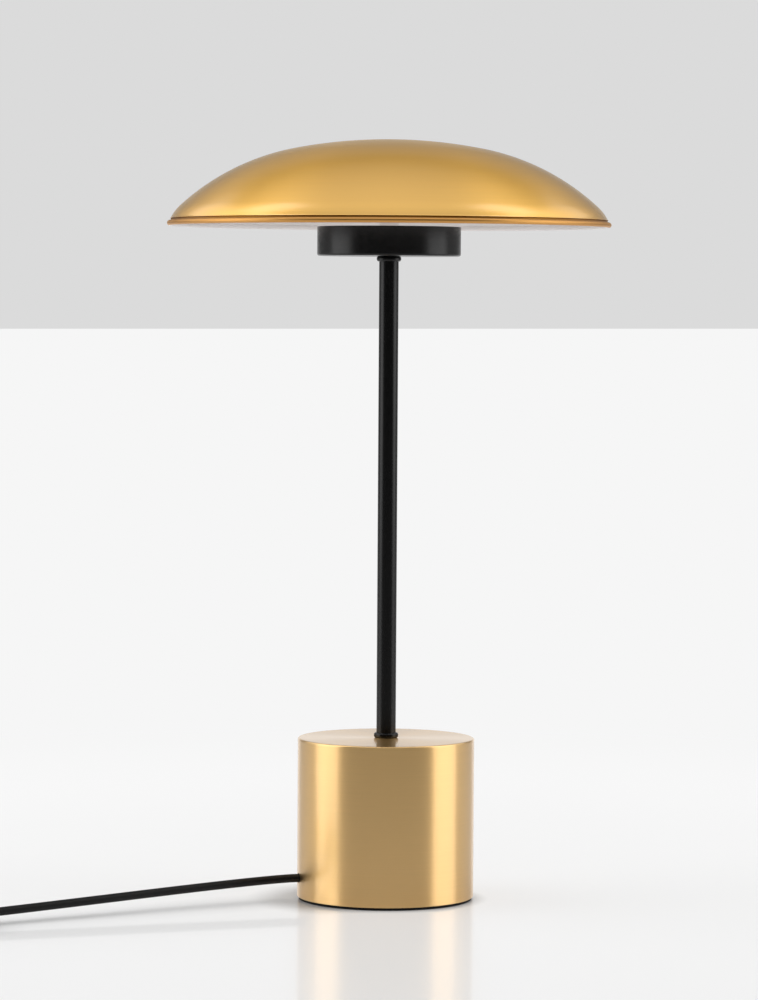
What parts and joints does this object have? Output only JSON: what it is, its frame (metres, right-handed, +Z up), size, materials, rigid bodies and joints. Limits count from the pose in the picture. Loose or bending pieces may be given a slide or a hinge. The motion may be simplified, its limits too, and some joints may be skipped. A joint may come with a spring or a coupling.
{
  "type": "desk lamp",
  "caption": "Desk lamp with a shallow domed metal shade over a round can on a slim black stem, drum base, and a lead with an inline rocker switch.",
  "frame": {"origin": "centre of the foot on the surface the lamp stands on", "axes": "+Z up the stem, -Y the front, lead leaves on the -X side"},
  "size_m": [0.4816, 0.2871, 0.4292],
  "materials": {
    "brass_satin": "brushed and clear lacquered, satin",
    "black_paint": "matt black powder coat",
    "white_lacquer": "white lacquer, satin",
    "opal_acrylic": "opal, satin",
    "zinc_steel": "zinc plated",
    "cast_iron": "as cast, primed",
    "foam_black": "closed cell foam",
    "black_plastic": "moulded, fine texture",
    "cord_sheath": "smooth extruded sheath",
    "white_plastic": "moulded",
    "led_phosphor": "silicone dome",
    "spreader_aluminium": "turned",
    "wire_sleeve": "extruded",
    "pin_nickel": "nickel plated brass"
  },
  "bodies": {
    "lamp": {"foot_pad": "foam_black", "bottom_plate": "zinc_steel", "plate_screws": "zinc_steel", "base_weight": "cast_iron", "base_shell": "brass_satin", "cord_bush": "black_plastic", "clamp_saddle": "white_plastic", "clamp_bar": "white_plastic", "clamp_screws": "zinc_steel", "led_driver": "white_plastic", "driver_screws": "zinc_steel", "terminal_block": "white_plastic", "mains_wires": "wire_sleeve", "driver_wires": "wire_sleeve", "led_wires": "wire_sleeve", "rod_washer": "zinc_steel", "rod_nut": "zinc_steel", "base_rod": "zinc_steel", "collar_bottom": "black_paint", "stem": "black_paint", "collar_top": "black_paint", "can_nipple": "zinc_steel", "lamp_can": "black_paint", "can_washer": "zinc_steel", "can_nut": "zinc_steel", "heat_spreader": "spreader_aluminium", "led_board": "white_lacquer", "led_chips": "led_phosphor", "board_screws": "zinc_steel", "diffuser": "opal_acrylic", "centre_post": "white_lacquer", "post_stud": "zinc_steel", "shade_boss": "white_lacquer", "dome_shade": "brass_satin", "switch_base": "black_plastic", "switch_cover": "black_plastic", "rocker_pin": "zinc_steel", "switch_screws": "zinc_steel", "plug_body": "black_plastic", "plug_pins": "pin_nickel", "cord_lead": "cord_sheath", "cord_inner": "cord_sheath", "cord_tail": "cord_sheath", "cord_coil": "cord_sheath", "cord_end": "cord_sheath"},
    "rocker": {"switch_rocker": "black_plastic"}
  },
  "joints": [
    {"name": "switch_rocker_tilt", "type": "hinge", "parent": "lamp", "child": "rocker", "pos_m": [-0.24868, -0.13053, 0.0104], "axis": [0.5357, -0.8444, 0], "range_deg": [0, 16]}
  ]
}
